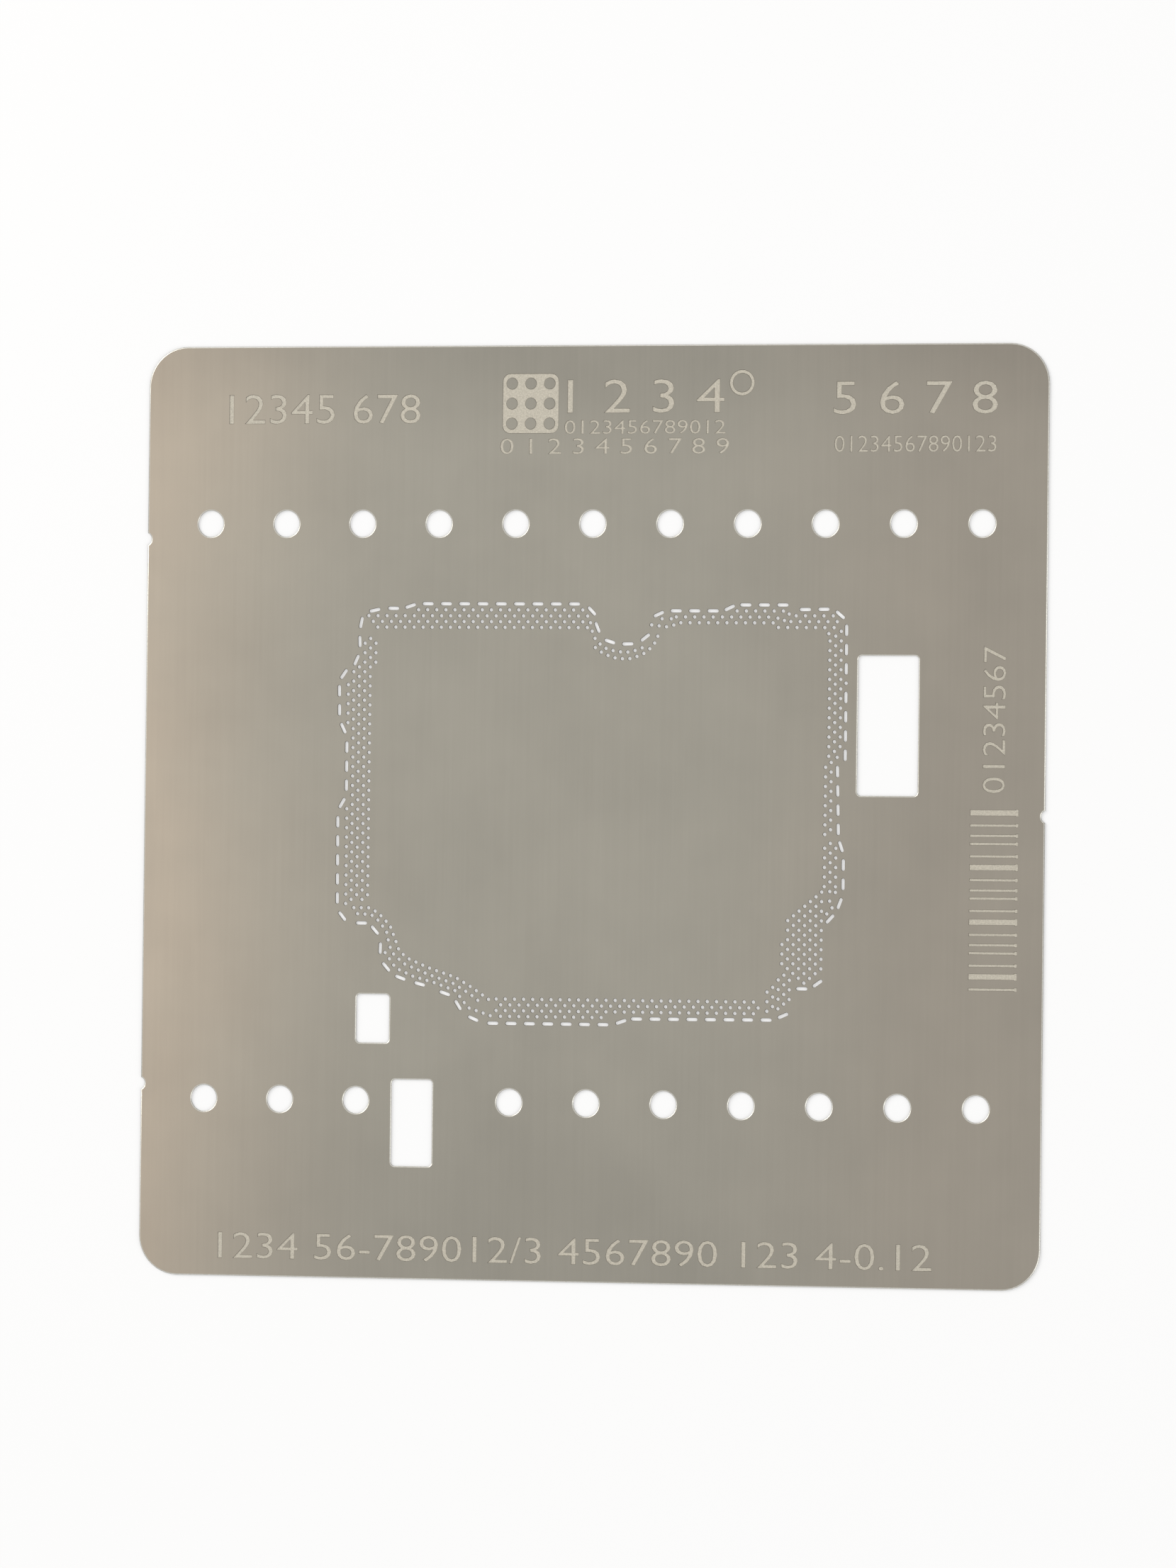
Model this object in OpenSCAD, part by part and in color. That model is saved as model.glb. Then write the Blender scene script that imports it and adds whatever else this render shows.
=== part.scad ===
// Solder paste stencil for the spacer frame between two stacked circuit boards.
// One flat sheet of stainless steel lies on the frame, and paste is wiped through
// its small apertures. A line of slots follows the outer edge of the frame, and
// staggered rows of round apertures lie inside that line.
// X runs along the rows of vent holes, Y across them, and Z up through the sheet.

/* [Sheet] */
// Side of the square sheet
sheet_side = 70; // [68:0.5:80]
// Thickness of the steel
sheet_t = 0.12; // [0.08:0.01:0.25]
// Radius of the four corners
corner_r = 3; // [0.5:0.5:4]
// Depth of the notches left where the sheet was snapped from its carrier strip
notch_depth = 0.3; // [0.1:0.05:0.4]
// Length of those notches along the edge
notch_w = 0.9; // [0.6:0.05:1.2]

/* [Vent holes] */
// Diameter of the round holes
vent_d = 2; // [1:0.1:2.4]
// Distance between neighbouring holes of a row
vent_pitch = 6; // [5:0.1:6.2]
// Distance between the two rows
vent_rows = 43.3; // [42:0.1:46]

/* [Windows] */
// Width of the tall window on the right
tall_window_w = 4.65; // [4.2:0.05:5]
// Height of the tall window on the right
tall_window_h = 10.4; // [8:0.1:12]
// Width of the small window inside the lower left
small_window_w = 2.6; // [2:0.1:3]
// Height of the small window
small_window_h = 3.65; // [2:0.05:4]
// Width of the window that breaks the lower row of holes
low_window_w = 3.2; // [2.4:0.1:3.6]
// Height of that window
low_window_h = 6.5; // [4:0.1:8]
// Radius inside the corners of the windows
window_r = 0.3; // [0.1:0.05:0.6]

/* [Paste apertures] */
// Diameter of the round apertures
dot_d = 0.28; // [0.16:0.01:0.3]
// Distance between the apertures of a row
dot_pitch = 0.713; // [0.7:0.001:0.72]
// Distance between neighbouring rows
row_pitch = 0.43; // [0.42:0.005:0.44]
// Distance between the apertures of a row that bends
bend_pitch = 0.58; // [0.55:0.01:0.65]

/* [Outline slots] */
// Length of a slot
slot_l = 0.88; // [0.5:0.02:0.96]
// Width of a slot
slot_w = 0.26; // [0.14:0.01:0.3]
// Distance between the slots of a straight stretch
slot_pitch = 1.43; // [1.35:0.01:1.5]

/* [Hidden] */
$fn = 48;
cut_over = 0.5;               // how far every cutter passes the two faces
steel = [0.64, 0.61, 0.56];
vent_places = [-5:5];         // along each row, in steps of vent_pitch
no_vent = -2;                 // the place in the lower row that a window takes
shortest_edge = 0.75;         // an edge of the slot line shorter than this has no slot
slot_end_steps = 3;           // straight steps in each rounded quarter of a slot's end

// centres of the three windows
tall_window_at = [22.95, 6.65];
small_window_at = [-16.75, -15.5];
low_window_at = [-13.6, -23.3];

// where the notches are: which side, and how far up it
notches = [[-1, 20.5], [-1, -20.6], [1, 0]];

// The slot line, as the corners of the frame's outer edge. It is open at two
// places on the lower right, where the apertures fill the corner of the frame.
slot_lines = [
    [
        [4.75, 13.6], [3.6, 12.7], [2.05, 12.65], [0.8, 13.05], [0.1, 14.75],
        [0.5, 14.6], [-0.5, 15.65], [-13.65, 15.65], [-14.7, 15.3], [-16.3, 15.3],
        [-17.65, 15], [-17.9, 14.85], [-18.15, 13.6], [-18.1, 12], [-18.65, 10.8],
        [-19, 10.85], [-19.7, 9.85], [-19.65, 6.9], [-19.05, 5.65], [-19.05, 1.2],
        [-19.7, 0.1], [-19.65, -7.35], [-18.85, -8.35], [-18.3, -8.35],
        [-17.15, -8.35], [-16.2, -9.4], [-16.25, -11.05], [-15.25, -12.2],
        [-14, -12.65], [-12.2, -13.1], [-11.75, -13.35], [-10.5, -13.75],
        [-9.65, -15.1], [-8.1, -15.75], [2, -15.75], [3.3, -15.3],
        [14.4, -15.25], [15.9, -14.6],
    ],
    [[15.95, -12.9], [17.2, -12.9], [18.35, -12.1]],
    [
        [18.2, -8.2], [19.15, -7.2], [19.65, -5.9], [19.65, -2.9], [19.25, -1.75],
        [19.1, 3.95], [19.7, 3.75], [19.7, 9.45], [19.7, 10.15], [19.7, 14.45],
        [18.7, 15.3], [15.75, 15.25], [15.55, 15.6], [11.15, 15.6],
        [10.2, 15.15], [5.75, 15.15], [4.65, 14.65],
    ],
];

// Straight bands of apertures: the first one, the heading of the rows, how many
// apertures a row has, and how many rows lie side by side to the right of it
bands = [
    [[-13.55, 15.2], 0, 19, 1],      // top, left of the dip
    [[-17.45, 14.75], 0, 25, 1],
    [[-17.1, 14.32], 0, 24, 2],
    [[-0.1, 14.25], 0, 1, 1],
    [[5.45, 14.56], 0, 2, 1],         // top, right of the dip
    [[6.55, 14.7], 0, 11, 2],
    [[14.4, 14.62], 0, 1, 1],
    [[11.25, 15.15], 0, 6, 1],
    [[15.26, 14.93], 0, 1, 1],
    [[14.9, 14.45], 0, 1, 1],
    [[15.4, 14.37], 0, 6, 1],
    [[15.8, 14.8], 0, 5, 1],
    [[14.45, 13.93], 0, 7, 1],
    [[-17.72, 11.25], 90, 3, 3],     // left side
    [[-18.58, -6.58], 90, 25, 4],
    [[-19, 6.7], 90, 5, 1],
    [[-19, -6.9], 90, 11, 1],
    [[-7.1, -13.93], 0, 29, 3],      // bottom
    [[-6.75, -15.22], 0, 12, 1],
    [[13.9, -14.6], 90, 3, 2],       // lower right
    [[14.75, -14.4], 90, 4, 2],
    [[15.6, -13.7], 90, 3, 1],
    [[18.2, -5.3], 90, 5, 3],        // right side
    [[18.63, -6.37], 90, 2, 1],
    [[18.42, -7.32], 90, 1, 1],
    [[18.82, -6.87], 90, 1, 1],
    [[19.06, -5.72], 90, 1, 1],
    [[18.2, -1.43], 90, 8, 2],
    [[18.43, 4.38], 90, 13, 1],
    [[18.33, 13.48], 90, 1, 1],
    [[18.86, 4.74], 90, 13, 1],
    [[19.29, 5.1], 90, 13, 1],
    [[19.08, 4.3], 90, 1, 1],
    [[19.7, 9.8], 90, 1, 1],
];

// Rows of apertures that bend, each one as the line that it follows
bent_rows = [
    [
        [-18.35, -7.2], [-17.1, -7.2], [-16.4, -7.6], [-15.5, -8.5], [-15.05, -9.6],
        [-14.75, -10.4], [-14.1, -10.95], [-12.3, -11.7], [-10.3, -12.35],
        [-9, -13.1], [-7.65, -14],
    ],
    [
        [-18.05, -7.65], [-17, -7.7], [-16.35, -8.2], [-15.75, -9], [-15.55, -9.9],
        [-15.3, -10.55], [-14.4, -11.35], [-12.5, -12.13], [-10.5, -12.8],
        [-9.2, -13.55], [-8.2, -14.3],
    ],
    [
        [-15.85, -10.55], [-15, -11.7], [-13.65, -12.3], [-12, -12.75],
        [-10.3, -13.35], [-9.3, -14.6], [-7.5, -15.2],
    ],
    [
        [0.04, 13.62], [0.25, 13.1], [0.84, 12.47], [1.4, 12.22], [2.5, 12.04],
        [3.1, 12.08], [3.7, 12.3], [4.3, 12.53],
    ],
    [
        [0.3, 12.4], [0.94, 11.93], [2, 11.58], [2.56, 11.57], [3.15, 11.58],
        [4.15, 12], [4.85, 12.6], [5.03, 13.16], [5.44, 13.54],
    ],
    [[4.65, 14.1], [5.9, 13.95], [6.4, 14.1]],
];

// The broad corner at the lower right: the lower end of its first column, how many
// half steps lower the next columns start, and how many apertures each one has
corner_first = [15, -11.05];
corner_drop = [0, 1, 2, 3, 4, 3, 2, 1];
corner_count = [3, 6, 7, 8, 9, 9, 9, 9];

// unit vector from a to b
function along(a, b) = (b - a) / norm(b - a);

// length of a line up to its corner number k
function run_to(line, k) = k == 0 ? 0 : run_to(line, k - 1) + norm(line[k] - line[k - 1]);

// the edge of a line that holds the distance s from its start
function edge_at(line, s, k = 1) =
    k == len(line) - 1 || s <= run_to(line, k) ? k : edge_at(line, s, k + 1);

// a slot along X with round ends, centred on the origin
function slot_points(l, w) =
    let (r = w / 2, step = 90 / slot_end_steps)
    [
        for (side = [0, 1])
            for (a = [-90:step:90])
                let (turn = a + 180 * side, x = side == 0 ? l / 2 - r : r - l / 2)
                [x + r * cos(turn), r * sin(turn)]
    ];

module sheet_outline() {
    straight = sheet_side - 2 * corner_r;
    square([straight, sheet_side], center = true);
    square([sheet_side, straight], center = true);
    for (x = [-1, 1], y = [-1, 1])
        translate([x, y] * straight / 2)
            circle(corner_r);
}

module notch() {
    r = (pow(notch_w / 2, 2) + pow(notch_depth, 2)) / (2 * notch_depth);
    translate([r - notch_depth, 0])
        circle(r);
}

module notch_cuts() {
    for (n = notches)
        translate([n[0] * sheet_side / 2, n[1]])
            mirror([n[0] < 0 ? 1 : 0, 0])
                notch();
}

module vent_holes() {
    for (side = [-1, 1], k = vent_places)
        if (side > 0 || k != no_vent)
            translate([k * vent_pitch, side * vent_rows / 2])
                circle(d = vent_d);
}

module window(w, h) {
    square([w - 2 * window_r, h], center = true);
    square([w, h - 2 * window_r], center = true);
    for (x = [-1, 1], y = [-1, 1])
        translate([x * (w / 2 - window_r), y * (h / 2 - window_r)])
            circle(window_r);
}

module windows() {
    translate(tall_window_at)
        window(tall_window_w, tall_window_h);
    translate(small_window_at)
        window(small_window_w, small_window_h);
    translate(low_window_at)
        window(low_window_w, low_window_h);
}

// slots spread evenly about the middle of the edge from a to b
module edge_slots(a, b) {
    reach = norm(b - a);
    count = reach < shortest_edge ? 0 : max(1, round(reach / slot_pitch));
    heading = atan2(b[1] - a[1], b[0] - a[0]);
    for (k = [0:1:count - 1])
        translate((a + b) / 2 + along(a, b) * slot_pitch * (k - (count - 1) / 2))
            rotate(heading)
                polygon(slot_points(slot_l, slot_w));
}

module outline_slots() {
    for (line = slot_lines, k = [1:len(line) - 1])
        edge_slots(line[k - 1], line[k]);
}

// every second row starts half a step on, so that the apertures nest
module band(first, heading, count, rows) {
    for (row = [0:rows - 1], k = [0:count - 1])
        translate(first)
            rotate(heading)
                translate([(k + row % 2 / 2) * dot_pitch, -row * row_pitch])
                    circle(d = dot_d);
}

module bent_row(line) {
    for (s = [0:bend_pitch:run_to(line, len(line) - 1)]) {
        k = edge_at(line, s);
        translate(line[k - 1] + along(line[k - 1], line[k]) * (s - run_to(line, k - 1)))
            circle(d = dot_d);
    }
}

module corner_block() {
    for (k = [0:len(corner_count) - 1])
        band(corner_first + [k * row_pitch, -corner_drop[k] * dot_pitch / 2], 90, corner_count[k], 1);
}

module paste_apertures() {
    for (b = bands)
        band(b[0], b[1], b[2], b[3]);
    for (line = bent_rows)
        bent_row(line);
    corner_block();
}

module stencil_sheet() {
    color(steel)
        difference() {
            linear_extrude(sheet_t)
                sheet_outline();
            translate([0, 0, -cut_over])
                linear_extrude(sheet_t + 2 * cut_over) {
                    notch_cuts();
                    vent_holes();
                    windows();
                    outline_slots();
                    paste_apertures();
                }
        }
}

stencil_sheet();
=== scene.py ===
import math
from itertools import cycle
import bpy
from mathutils import Matrix, Vector
from mathutils.geometry import delaunay_2d_cdt


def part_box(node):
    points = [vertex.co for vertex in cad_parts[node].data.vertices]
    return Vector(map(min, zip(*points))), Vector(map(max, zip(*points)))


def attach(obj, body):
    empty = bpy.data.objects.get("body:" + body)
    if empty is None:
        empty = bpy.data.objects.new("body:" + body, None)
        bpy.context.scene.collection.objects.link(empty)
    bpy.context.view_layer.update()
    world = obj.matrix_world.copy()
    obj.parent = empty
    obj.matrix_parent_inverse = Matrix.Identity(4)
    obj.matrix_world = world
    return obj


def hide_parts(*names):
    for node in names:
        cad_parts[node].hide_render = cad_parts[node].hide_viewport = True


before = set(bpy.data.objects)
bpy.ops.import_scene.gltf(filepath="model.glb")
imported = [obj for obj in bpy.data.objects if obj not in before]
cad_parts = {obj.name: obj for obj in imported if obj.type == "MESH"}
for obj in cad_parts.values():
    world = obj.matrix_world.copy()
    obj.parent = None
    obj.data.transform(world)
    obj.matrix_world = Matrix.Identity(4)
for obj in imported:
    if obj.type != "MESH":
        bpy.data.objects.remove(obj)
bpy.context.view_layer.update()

mm = 0.001
low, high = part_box("stencil_sheet")
faceSize = 70                            # the marks are placed on a face of this side
toFace = (high.x - low.x) / faceSize     # metres for one step on that face
sameHeight = 1e-6                        # m, within which two heights are one
sameSpot = 7                             # decimals of a metre at which two corners are one
foldedBack = 1e-3                        # below this a corner's two edges lie on each other
sharpest = 0.75                          # keeps a sharp corner from running away when shifted


# outlines: closed loops of 2D points, material on their left

def chainEdges(edges):
    following = {}
    for start, end in sorted(edges):
        following.setdefault(start, []).append(end)
    loops = []
    while following:
        start = next(iter(following))
        loop = [start]
        while True:
            ends = following[loop[-1]]
            step = ends.pop()
            if not ends:
                del following[loop[-1]]
            if step == start:
                break
            loop.append(step)
        loops.append([Vector(point) for point in loop])
    return loops


def outlinesOf(mesh, level):
    # the edges of the flat face at this height, read off its triangles
    spot = {}
    for vertex in mesh.vertices:
        if abs(vertex.co.z - level) < sameHeight:
            spot[vertex.index] = (round(vertex.co.x, sameSpot), round(vertex.co.y, sameSpot))
    edges = set()
    for face in mesh.polygons:
        corners = [spot.get(index) for index in face.vertices]
        if None in corners:
            continue
        for start, end in zip(corners, corners[1:] + corners[:1]):
            if (end, start) in edges:
                edges.remove((end, start))
            else:
                edges.add((start, end))
    return chainEdges(edges)


def signedArea(loop):
    return sum(a.x * b.y - b.x * a.y for a, b in zip(loop, loop[1:] + loop[:1])) / 2


def aroundLoop(loop):
    return sum((b - a).length for a, b in zip(loop, loop[1:] + loop[:1]))


def ring(centre, radius, sides, turn=1):
    points = []
    for k in range(sides):
        angle = turn * 2 * math.pi * k / sides
        points.append(centre + radius * Vector((math.cos(angle), math.sin(angle))))
    return points


def roundedBox(x0, y0, x1, y1, radius, steps=5):
    points = []
    corners = [(x1, y0, -90), (x1, y1, 0), (x0, y1, 90), (x0, y0, 180)]
    for x, y, start in corners:
        cx = x - math.copysign(radius, x - (x0 + x1) / 2)
        cy = y - math.copysign(radius, y - (y0 + y1) / 2)
        for k in range(steps + 1):
            angle = math.radians(start + 90 * k / steps)
            points.append(Vector((cx + radius * math.cos(angle), cy + radius * math.sin(angle))))
    return points


def shifted(loop, distance):
    # each point moves to the left of the way the loop runs
    moved = []
    count = len(loop)
    for k in range(count):
        before = (loop[k] - loop[k - 1]).normalized()
        after = (loop[(k + 1) % count] - loop[k]).normalized()
        normal = Vector((-before.y - after.y, before.x + after.x))
        if normal.length < foldedBack:
            normal = Vector((-after.y, after.x))
        normal.normalize()
        share = max(sharpest, normal.dot(Vector((-after.y, after.x))))
        moved.append(loop[k] + normal * distance / share)
    return moved


def thinned(loop, least):
    # leaves out points that crowd the one before
    kept = []
    for point in loop:
        if not kept or (point - kept[-1]).length >= least:
            kept.append(point)
    if (kept[0] - kept[-1]).length < least:
        kept.pop()
    return kept


# cut-outs: the outer edge and every opening of the sheet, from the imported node

sheetForm = {
    "smallRing": 1.3,        # mm around, below this an opening is drawn as a ring
    "ringSides": 20,
    "rimWidth": 0.022,       # mm, the rounded rim round every small opening
    "rimDrop": 0.012,
    "edgeWidth": 0.08,       # mm, the same on the outer edge and the large openings
    "edgeDrop": 0.02,
    "largeOpening": 4.0,     # mm around
}


def cutOuts(node):
    loops = []
    for loop in outlinesOf(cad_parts[node].data, high.z):
        length = aroundLoop(loop)
        if length < sheetForm["smallRing"] * mm:
            centre = sum(loop, Vector((0, 0))) / len(loop)
            radius = sum((point - centre).length for point in loop) / len(loop)
            loop = ring(centre, radius, sheetForm["ringSides"], -1)
        loops.append(loop)
    return loops


# marks: shallow etched numbers and signs on the upper face

marks = {
    "depth": 0.03,           # mm
    "slope": 0.03,           # mm, the width of the sloping wall round a large mark
    "slopeOfHeight": 0.012,  # and its share of the height of a digit
    "leastStep": 0.02,       # shortest edge of a digit's outline, by its height
    "curveSteps": 3,
    # text, lower left corner, width and height in mm, turned a quarter or not
    "lines": [
        ("12345 678", -28.65, 29.15, 15.1, 2.25, False),
        ("1 2 3 4", -2.1, 29.9, 12.2, 2.55, False),
        ("0123456789012", -2.3, 28.35, 12.5, 1.05, False),
        ("0 1 2 3 4 5 6 7 8 9", -7.3, 26.85, 17.8, 1.2, False),
        ("5 6 7 8", 18.5, 29.75, 12.6, 2.5, False),
        ("01234567890123", 18.6, 26.95, 12.4, 1.25, False),
        ("01234567", 30.2, 1.7, 10.9, 1.75, True),
        ("1234 56-789012/3 4567890 123 4-0.12", -28.75, -33.7, 55.5, 2.0, False),
    ],
    # left, bottom, right, top of the rounded tile, and its corner radius
    "tile": (-7.15, 28.4, -2.75, 32.9, 0.6),
    "tileDots": 3,
    "tileDotRadius": 0.42,
    "tileDotSides": 20,
    # centre, outer and inner radius of the small ring
    "ring": (11.45, 32.15, 0.98, 0.7),
    "ringSides": 32,
    # left, right, first and last of the bars, their repeating widths and gaps
    "bars": (29.3, 33.0, -12.9, 0.5),
    "barWidths": (0.2, 0.44, 0.2, 0.2, 0.2),
    "barGaps": (0.62, 0.5, 0.72, 0.4, 0.56),
    "barSlope": 0.015,
    "barHead": (0.22, 0.05),  # each bar ends in a wider head: its length, and how far it stands out
}


def textLoops(text, x, y, width, height, upright):
    curve = bpy.data.curves.new("digits", "FONT")
    curve.body = text
    curve.resolution_u = marks["curveSteps"]
    holder = bpy.data.objects.new("digits", curve)
    bpy.context.scene.collection.objects.link(holder)
    shape = holder.evaluated_get(bpy.context.evaluated_depsgraph_get()).to_mesh()
    loops = outlinesOf(shape, 0)
    holder.to_mesh_clear()
    bpy.data.objects.remove(holder)
    xs = [point.x for loop in loops for point in loop]
    ys = [point.y for loop in loops for point in loop]
    sx = width / (max(xs) - min(xs))
    sy = height / (max(ys) - min(ys))
    placed = []
    for loop in loops:
        points = []
        for point in loop:
            u = (point.x - min(xs)) * sx
            v = (point.y - min(ys)) * sy
            if upright:
                points.append(Vector((x + height - v, y + u)) * toFace)
            else:
                points.append(Vector((x + u, y + v)) * toFace)
        placed.append(thinned(points, marks["leastStep"] * height * mm))
    return placed


def tileLoops():
    x0, y0, x1, y1, radius = marks["tile"]
    loops = [roundedBox(x0, y0, x1, y1, radius)]
    count = marks["tileDots"]
    stepX = (x1 - x0) / count
    stepY = (y1 - y0) / count
    for i in range(count):
        for j in range(count):
            centre = Vector((x0 + stepX * (i + 0.5), y0 + stepY * (j + 0.5)))
            loops.append(ring(centre, marks["tileDotRadius"], marks["tileDotSides"], -1))
    return [[point * toFace for point in loop] for loop in loops]


def ringLoops():
    x, y, outer, inner = marks["ring"]
    centre = Vector((x, y))
    sides = marks["ringSides"]
    loops = [ring(centre, outer, sides), ring(centre, inner, sides, -1)]
    return [[point * toFace for point in loop] for loop in loops]


def barLoops():
    left, right, start, end = marks["bars"]
    length, extra = marks["barHead"]
    neck = right - length
    loops = []
    y = start
    for width, gap in cycle(zip(marks["barWidths"], marks["barGaps"])):
        if y > end:
            return loops
        under = [(left, y), (neck, y), (neck, y - extra), (right, y - extra)]
        over = [(px, 2 * y + width - py) for px, py in under]
        loops.append([Vector(point) * toFace for point in under + over[::-1]])
        y += width + gap


def etchedOutlines():
    # pairs of a loop and its slope; a loop runs clockwise round an island that stays
    pairs = [(loop, marks["slope"]) for loop in tileLoops() + ringLoops()]
    pairs += [(loop, marks["barSlope"]) for loop in barLoops()]
    for text, x, y, width, height, upright in marks["lines"]:
        slope = min(marks["slope"], marks["slopeOfHeight"] * height)
        pairs += [(loop, slope) for loop in textLoops(text, x, y, width, height, upright)]
    print("etched outlines:", len(pairs))
    return pairs


# the sheet itself

nearPoints = 1e-9        # m, closer points are one to the triangulation


def fill(loops, keep):
    # triangles between the loops; keep is told which loops lie round a triangle
    points = [point for loop in loops for point in loop]
    rings = []
    start = 0
    for loop in loops:
        numbers = list(range(start, start + len(loop)))
        rings.append(numbers if signedArea(loop) > 0 else numbers[::-1])
        start += len(loop)
    made, _, triangles, fromPoint, _, fromRing = delaunay_2d_cdt(points, [], rings, 0, nearPoints)
    kept = [tri for tri, inside in zip(triangles, fromRing) if keep(inside)]
    print("filled with", len(kept), "triangles,", len(made) - len(points), "extra points")
    return made, kept, fromPoint


def addLoop(sheet, loop, z):
    start = len(sheet["points"])
    sheet["points"] += [(p.x, p.y, z) for p in loop]
    return list(range(start, len(sheet["points"])))


def addWall(sheet, upper, lower, finish):
    for k in range(len(upper)):
        n = (k + 1) % len(upper)
        sheet["faces"].append((upper[k], lower[k], lower[n], upper[n]))
        sheet["finishes"].append(finish)


def addFlat(sheet, rings, z, keep, finish, faceUp=True):
    # each ring is a loop and the numbers that its points have in the sheet
    given = [n for _, numbers in rings for n in numbers]
    made, triangles, fromPoint = fill([loop for loop, _ in rings], keep)
    inSheet = []
    for point, sources in zip(made, fromPoint):
        if sources:
            inSheet.append(given[sources[0]])
        else:
            inSheet.append(len(sheet["points"]))
            sheet["points"].append((point.x, point.y, z))
    for tri in triangles:
        order = tri if faceUp else tri[::-1]
        sheet["faces"].append(tuple(inSheet[k] for k in order))
        sheet["finishes"].append(finish)


def sheetSurfaces():
    sheet = {"points": [], "faces": [], "finishes": []}
    openings = cutOuts("stencil_sheet")
    etched = etchedOutlines()
    outer = max(range(len(openings)), key=lambda k: abs(signedArea(openings[k])))

    topRings = []
    underRings = []
    for loop in openings:
        large = aroundLoop(loop) > sheetForm["largeOpening"] * mm
        inner = shifted(loop, sheetForm["edgeWidth" if large else "rimWidth"] * mm)
        drop = sheetForm["edgeDrop" if large else "rimDrop"] * mm
        rim = addLoop(sheet, inner, high.z)
        upper = addLoop(sheet, loop, high.z - drop)
        lower = addLoop(sheet, loop, low.z + drop)
        foot = addLoop(sheet, inner, low.z)
        # the rim finish of the outer edge and large openings is a painted highlight
        finish = "rim" if large else "fineRim"
        addWall(sheet, rim, upper, finish)
        addWall(sheet, upper, lower, "cutWall")
        addWall(sheet, lower, foot, finish)
        topRings.append((inner, rim))
        underRings.append((inner, foot))

    floorZ = high.z - marks["depth"] * mm
    floorRings = []
    islands = set()
    for k, (loop, slope) in enumerate(etched):
        if signedArea(loop) < 0:
            islands.add(k)
        inner = shifted(loop, slope * mm)
        rim = addLoop(sheet, loop, high.z)
        base = addLoop(sheet, inner, floorZ)
        addWall(sheet, base, rim, "etchedSlope")
        topRings.append((loop, rim))
        floorRings.append((inner, base))

    cuts = len(openings)

    def onTop(inside):
        if outer not in inside or any(k < cuts and k != outer for k in inside):
            return False
        marked = [k - cuts for k in inside if k >= cuts]
        return not marked or any(k in islands for k in marked)

    def onFloor(inside):
        return len(inside) > 0 and not any(k in islands for k in inside)

    def onUnderside(inside):
        return list(inside) == [outer]

    addFlat(sheet, topRings, high.z, onTop, "face")
    addFlat(sheet, floorRings, floorZ, onFloor, "etchedFloor")
    addFlat(sheet, underRings, low.z, onUnderside, "face", faceUp=False)
    return sheet


# finishes

def addNode(tree, kind, **settings):
    node = tree.nodes.new(kind)
    for name, value in settings.items():
        setattr(node, name, value)
    return node


def newMaterial(name):
    material = bpy.data.materials.new(name)
    material.use_nodes = True
    tree = material.node_tree
    return material, tree, tree.nodes["Principled BSDF"]


def placeOf(tree):
    return addNode(tree, "ShaderNodeTexCoord").outputs["Object"]


def noiseAt(tree, place, scale, stretch=(1, 1, 1), detail=2.0, rough=0.5):
    mapping = addNode(tree, "ShaderNodeMapping")
    mapping.inputs["Scale"].default_value = stretch
    noise = addNode(tree, "ShaderNodeTexNoise")
    noise.inputs["Scale"].default_value = scale
    noise.inputs["Detail"].default_value = detail
    noise.inputs["Roughness"].default_value = rough
    tree.links.new(place, mapping.inputs["Vector"])
    tree.links.new(mapping.outputs["Vector"], noise.inputs["Vector"])
    return noise.outputs["Fac"]


def spread(tree, value, fromLow, fromHigh, toLow, toHigh, smooth=False):
    node = addNode(tree, "ShaderNodeMapRange")
    if smooth:
        node.interpolation_type = "SMOOTHSTEP"
    node.inputs["From Min"].default_value = fromLow
    node.inputs["From Max"].default_value = fromHigh
    node.inputs["To Min"].default_value = toLow
    node.inputs["To Max"].default_value = toHigh
    tree.links.new(value, node.inputs["Value"])
    return node.outputs["Result"]


def swing(tree, noise, amount):
    # the middle of a noise, spread to either side of nought
    return spread(tree, noise, 0.3, 0.7, -amount, amount)


def sums(tree, operation, first, second):
    node = addNode(tree, "ShaderNodeMath", operation=operation)
    for socket, value in zip(node.inputs, (first, second)):
        if isinstance(value, (int, float)):
            socket.default_value = value
        else:
            tree.links.new(value, socket)
    return node.outputs["Value"]


def mixed(tree, share, first, second):
    node = addNode(tree, "ShaderNodeMix", data_type="RGBA")
    for socket, value in ((node.inputs[0], share), (node.inputs[6], first), (node.inputs[7], second)):
        if hasattr(value, "is_linked"):
            tree.links.new(value, socket)
        elif isinstance(value, tuple):
            socket.default_value = (*value, 1)
        else:
            socket.default_value = value
    return node.outputs[2]


def bumped(tree, shader, height, strength, distance):
    bump = addNode(tree, "ShaderNodeBump")
    bump.inputs["Strength"].default_value = strength
    bump.inputs["Distance"].default_value = distance
    tree.links.new(height, bump.inputs["Height"])
    tree.links.new(bump.outputs["Normal"], shader.inputs["Normal"])


steelFinish = {
    "middle": (0.304, 0.287, 0.245),
    "sheenSide": (0.420, 0.362, 0.292),
    # the left side is painted lighter and warmer, a painted sheen; the right side is painted darker,
    # painted shade
    "shadedSide": (0.288, 0.262, 0.221),
    "sheenFrom": -0.010,        # m along X, where the painted sheen of the left side starts
    "sheenTo": -0.035,
    "sheenPower": 2.2,
    "shadedFrom": 0.006,
    "shadedTo": 0.030,
    "frontShadeFrom": -0.012,         # m along Y, the front edge is a little darker, painted shade
    "frontShadeTo": -0.035,
    "frontShade": 0.10,
    "backFrom": 0.026,         # and the back edge as well, painted shade too
    "backTo": 0.0345,
    "backShade": 0.13,
    "driftStep": 45,           # per metre, how fast the borders of these zones wander
    "drift": 0.003,            # m, and how far
    "cloudStep": 90,
    "cloudShade": 0.015,
    "grainStep": 3500,         # per metre across the rolling direction
    "grainStretch": (1, 0.02, 1),
    "grainShade": 0.015,
    "grainStrength": 0.05,
    "grainHeight": 0.00002,
    "roughest": 0.48,
    "smoothest": 0.37,
}


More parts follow.
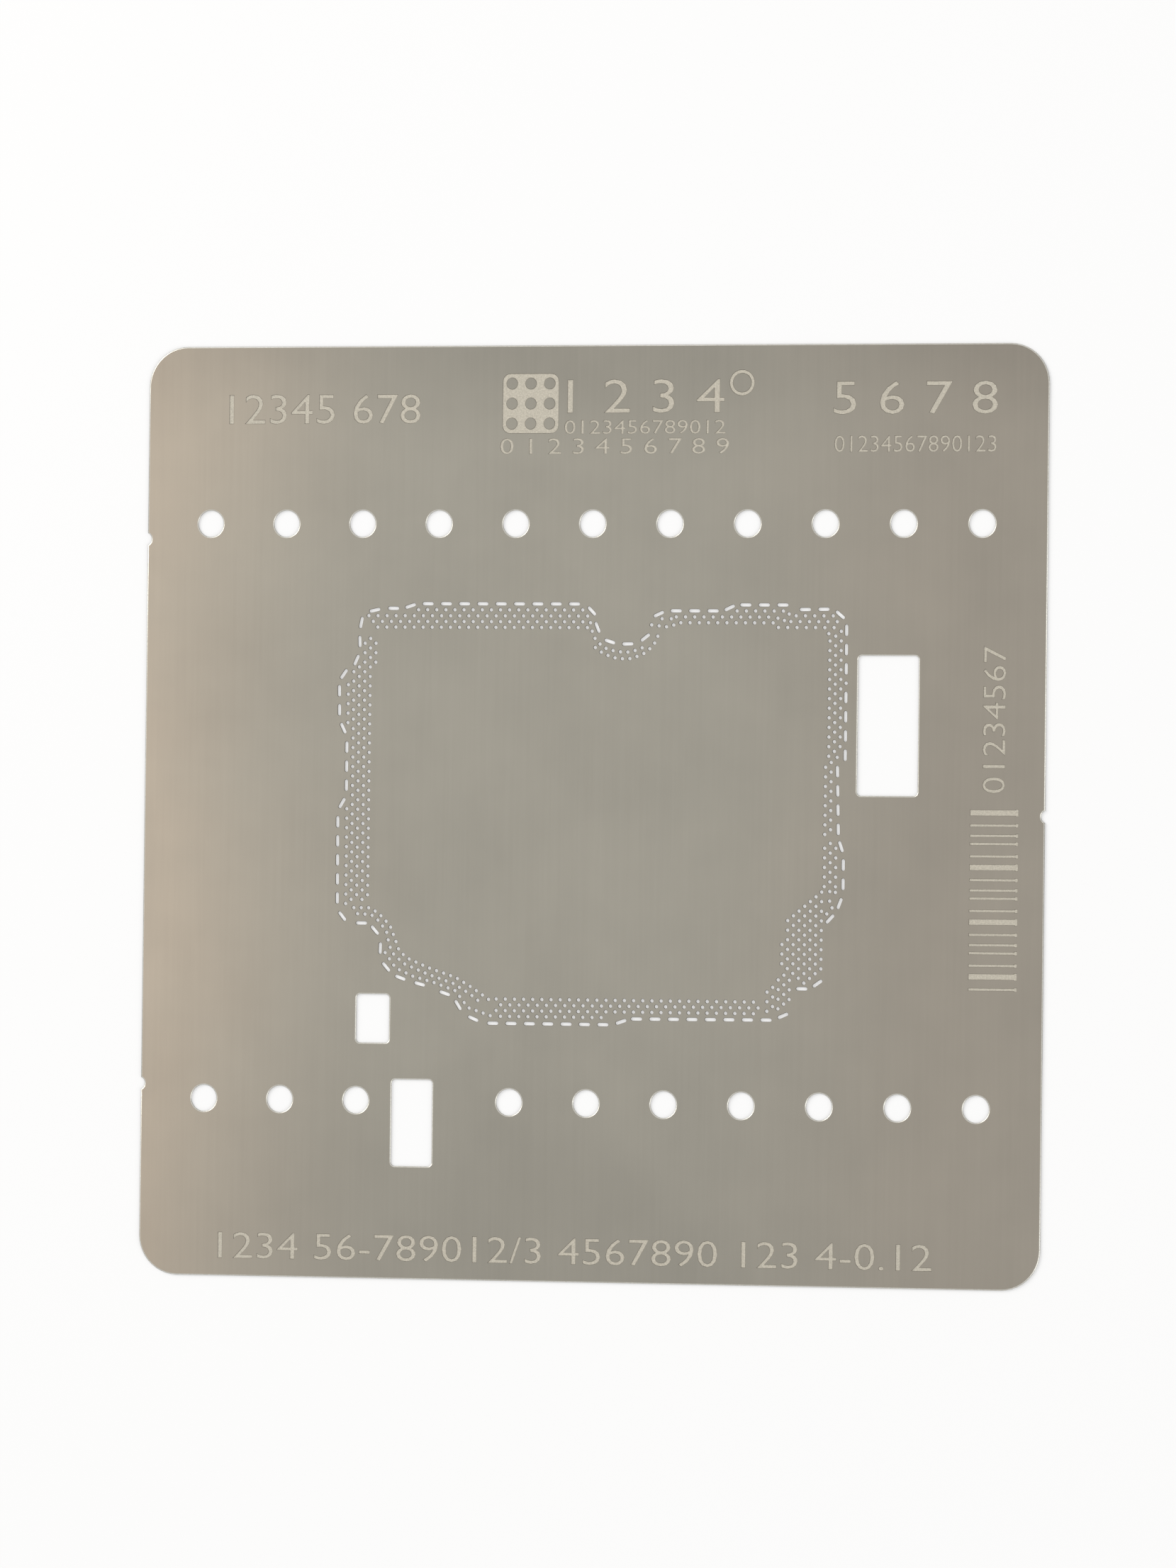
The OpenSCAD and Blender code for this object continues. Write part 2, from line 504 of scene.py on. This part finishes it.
def steelColour(tree, place):
    split = addNode(tree, "ShaderNodeSeparateXYZ")
    tree.links.new(place, split.inputs["Vector"])
    drift = swing(tree, noiseAt(tree, place, steelFinish["driftStep"]), steelFinish["drift"])
    x = sums(tree, "ADD", split.outputs["X"], drift)
    y = sums(tree, "ADD", split.outputs["Y"], drift)
    # painted sheen towards the left, painted shade towards the right
    sheen = spread(tree, x, steelFinish["sheenFrom"], steelFinish["sheenTo"], 0, 1)
    sheen = sums(tree, "POWER", sheen, steelFinish["sheenPower"])
    shaded = spread(tree, x, steelFinish["shadedFrom"], steelFinish["shadedTo"], 0, 1, True)
    colour = mixed(tree, sheen, steelFinish["middle"], steelFinish["sheenSide"])
    colour = mixed(tree, shaded, colour, steelFinish["shadedSide"])
    grainStretch = steelFinish["grainStretch"]
    grain = noiseAt(tree, place, steelFinish["grainStep"], grainStretch, detail=3.0, rough=0.6)
    cloud = noiseAt(tree, place, steelFinish["cloudStep"], detail=4.0, rough=0.6)
    # painted shade: darker towards the front and back edges
    front = spread(tree, y, steelFinish["frontShadeFrom"], steelFinish["frontShadeTo"], 0, 1, True)
    front = sums(tree, "MULTIPLY", front, steelFinish["frontShade"])
    front = sums(tree, "MULTIPLY", front, sums(tree, "SUBTRACT", 1.0, shaded))
    back = spread(tree, y, steelFinish["backFrom"], steelFinish["backTo"], 0, 1, True)
    back = sums(tree, "MULTIPLY", back, steelFinish["backShade"])
    shade = sums(tree, "SUBTRACT", sums(tree, "SUBTRACT", 1.0, front), back)
    shade = sums(tree, "ADD", shade, swing(tree, grain, steelFinish["grainShade"]))
    shade = sums(tree, "ADD", shade, swing(tree, cloud, steelFinish["cloudShade"]))
    bright = addNode(tree, "ShaderNodeHueSaturation")
    tree.links.new(colour, bright.inputs["Color"])
    tree.links.new(shade, bright.inputs["Value"])
    return bright.outputs["Color"], grain, cloud


def faceSteel():
    material, tree, shader = newMaterial("rolledSteel")
    place = placeOf(tree)
    colour, grain, cloud = steelColour(tree, place)
    tree.links.new(colour, shader.inputs["Base Color"])
    shader.inputs["Metallic"].default_value = 1.0
    dull = spread(tree, cloud, 0.3, 0.7, steelFinish["smoothest"], steelFinish["roughest"])
    tree.links.new(dull, shader.inputs["Roughness"])
    bumped(tree, shader, grain, steelFinish["grainStrength"], steelFinish["grainHeight"])
    return material


specks = {
    "step": 9000,
    "darkest": 0.88,           # share of the written colour
    "lightest": 1.1,
    "strength": 0.2,
    "height": 0.00001,
}


def plainSteel(name, colour, roughness):
    material, tree, shader = newMaterial(name)
    place = placeOf(tree)
    speck = noiseAt(tree, place, specks["step"], detail=3.0, rough=0.6)
    dark = tuple(specks["darkest"] * c for c in colour)
    light = tuple(specks["lightest"] * c for c in colour)
    shade = mixed(tree, spread(tree, speck, 0.35, 0.65, 0, 1), dark, light)
    tree.links.new(shade, shader.inputs["Base Color"])
    shader.inputs["Metallic"].default_value = 1.0
    shader.inputs["Roughness"].default_value = roughness
    bumped(tree, shader, speck, specks["strength"], specks["height"])
    return material


finishes = {
    "face": faceSteel(),
    # lighter than the face: a painted highlight on the bevelled outer edge and large openings
    "rim": plainSteel("rimHighlightSteel", (0.53, 0.515, 0.47), 0.4),
    # darker than the face: painted shade round every small opening
    "fineRim": plainSteel("fineRimShadeSteel", (0.17, 0.155, 0.13), 0.5),
    "cutWall": plainSteel("cutWallSteel", (0.20, 0.18, 0.15), 0.55),
    "etchedFloor": plainSteel("etchedSteel", (0.465, 0.435, 0.37), 0.65),
    # painted shade: the sloping walls round the etched marks are painted dark
    "etchedSlope": plainSteel("etchedEdgeShadeSteel", (0.19, 0.178, 0.15), 0.6),
}


def makeStencil():
    parts = sheetSurfaces()
    mesh = bpy.data.meshes.new("stencilSheet")
    mesh.from_pydata(parts["points"], [], parts["faces"])
    order = list(finishes)
    for name in order:
        mesh.materials.append(finishes[name])
    mesh.polygons.foreach_set("material_index", [order.index(name) for name in parts["finishes"]])
    smooth = [name in ("rim", "fineRim", "cutWall") for name in parts["finishes"]]
    mesh.polygons.foreach_set("use_smooth", smooth)
    mesh.update()
    piece = bpy.data.objects.new("stencilSheet", mesh)
    bpy.context.scene.collection.objects.link(piece)
    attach(piece, "root")
    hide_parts("stencil_sheet")
    triangles = sum(len(face.vertices) - 2 for face in mesh.polygons)
    print("stencil sheet:", triangles, "triangles")


makeStencil()


# studio: floor, lamps, world

studio = {
    "floorSide": 3.0,
    "floorGap": 0.01,        # mm below the sheet
    "floorWhite": 0.62,
    "floorGlow": 0.39,
    "worldStrength": 0.55,
    "lamps": [
        # place, size, watts, colour
        ((-0.75, 0.45, 0.5), 0.6, 6.0, (1.0, 0.98, 0.95)),
        ((0.8, -0.3, 0.45), 0.6, 3.0, (1.0, 1.0, 1.0)),
    ],
}


def makeFloor():
    side = studio["floorSide"] / 2
    z = low.z - studio["floorGap"] * mm
    mesh = bpy.data.meshes.new("floor")
    corners = [(-side, -side, z), (side, -side, z), (side, side, z), (-side, side, z)]
    mesh.from_pydata(corners, [], [(0, 1, 2, 3)])
    floor = bpy.data.objects.new("floor", mesh)
    bpy.context.scene.collection.objects.link(floor)
    material = bpy.data.materials.new("paleFloor")
    material.use_nodes = True
    tree = material.node_tree
    tree.nodes.clear()
    matt = addNode(tree, "ShaderNodeBsdfDiffuse")
    white = studio["floorWhite"]
    matt.inputs["Color"].default_value = (white, white, white, 1)
    glow = addNode(tree, "ShaderNodeEmission")
    path = addNode(tree, "ShaderNodeLightPath")
    seen = sums(tree, "MAXIMUM", path.outputs["Is Camera Ray"], path.outputs["Is Glossy Ray"])
    tree.links.new(sums(tree, "MULTIPLY", seen, studio["floorGlow"]), glow.inputs["Strength"])
    both = addNode(tree, "ShaderNodeAddShader")
    end = addNode(tree, "ShaderNodeOutputMaterial")
    tree.links.new(matt.outputs["BSDF"], both.inputs[0])
    tree.links.new(glow.outputs["Emission"], both.inputs[1])
    tree.links.new(both.outputs["Shader"], end.inputs["Surface"])
    mesh.materials.append(material)


def makeWorld():
    world = bpy.data.worlds.new("studioWorld")
    bpy.context.scene.world = world
    world.use_nodes = True
    tree = world.node_tree
    tree.nodes.clear()
    soft = addNode(tree, "ShaderNodeBackground")
    soft.inputs["Color"].default_value = (1, 1, 1, 1)
    soft.inputs["Strength"].default_value = studio["worldStrength"]
    shown = addNode(tree, "ShaderNodeBackground")
    shown.inputs["Color"].default_value = (1, 1, 1, 1)
    shown.inputs["Strength"].default_value = 1.0
    path = addNode(tree, "ShaderNodeLightPath")
    seen = sums(tree, "MAXIMUM", path.outputs["Is Camera Ray"], path.outputs["Is Glossy Ray"])
    seen = sums(tree, "MAXIMUM", seen, path.outputs["Is Transmission Ray"])
    blend = addNode(tree, "ShaderNodeMixShader")
    end = addNode(tree, "ShaderNodeOutputWorld")
    tree.links.new(seen, blend.inputs["Fac"])
    tree.links.new(soft.outputs["Background"], blend.inputs[1])
    tree.links.new(shown.outputs["Background"], blend.inputs[2])
    tree.links.new(blend.outputs["Shader"], end.inputs["Surface"])


def makeLamps():
    for k, (place, size, watts, colour) in enumerate(studio["lamps"]):
        lamp = bpy.data.lights.new(f"softbox{k + 1}", "AREA")
        lamp.shape = "SQUARE"
        lamp.size = size
        lamp.energy = watts
        lamp.color = colour
        holder = bpy.data.objects.new(f"softbox{k + 1}", lamp)
        holder.location = place
        holder.rotation_euler = (-Vector(place)).to_track_quat("-Z", "Y").to_euler()
        bpy.context.scene.collection.objects.link(holder)


makeFloor()
makeWorld()
makeLamps()
print("studio ready")


# camera: nearly above the sheet, a little to its right, with a long lens

cameraView = {
    "aim": (-0.16 * mm, 2.2 * mm, 0),
    "toRight": 16.25,         # degrees from straight above
    "toFront": -1.08,
    "roll": 0.69,
    "distance": 0.81314,
    "lens": 250,
    "sensor": 36,
}


def makeCamera():
    turn = Matrix.Rotation(math.radians(cameraView["toRight"]), 4, "Y")
    turn = turn @ Matrix.Rotation(math.radians(-cameraView["toFront"]), 4, "X")
    turn = turn @ Matrix.Rotation(math.radians(cameraView["roll"]), 4, "Z")
    camera = bpy.data.objects.new("camera", bpy.data.cameras.new("camera"))
    camera.data.lens = cameraView["lens"]
    camera.data.sensor_width = cameraView["sensor"]
    back = turn @ Vector((0, 0, cameraView["distance"]))
    camera.matrix_world = Matrix.Translation(Vector(cameraView["aim"]) + back) @ turn
    bpy.context.scene.collection.objects.link(camera)
    bpy.context.scene.camera = camera


makeCamera()
bpy.context.scene.view_settings.view_transform = "Standard"
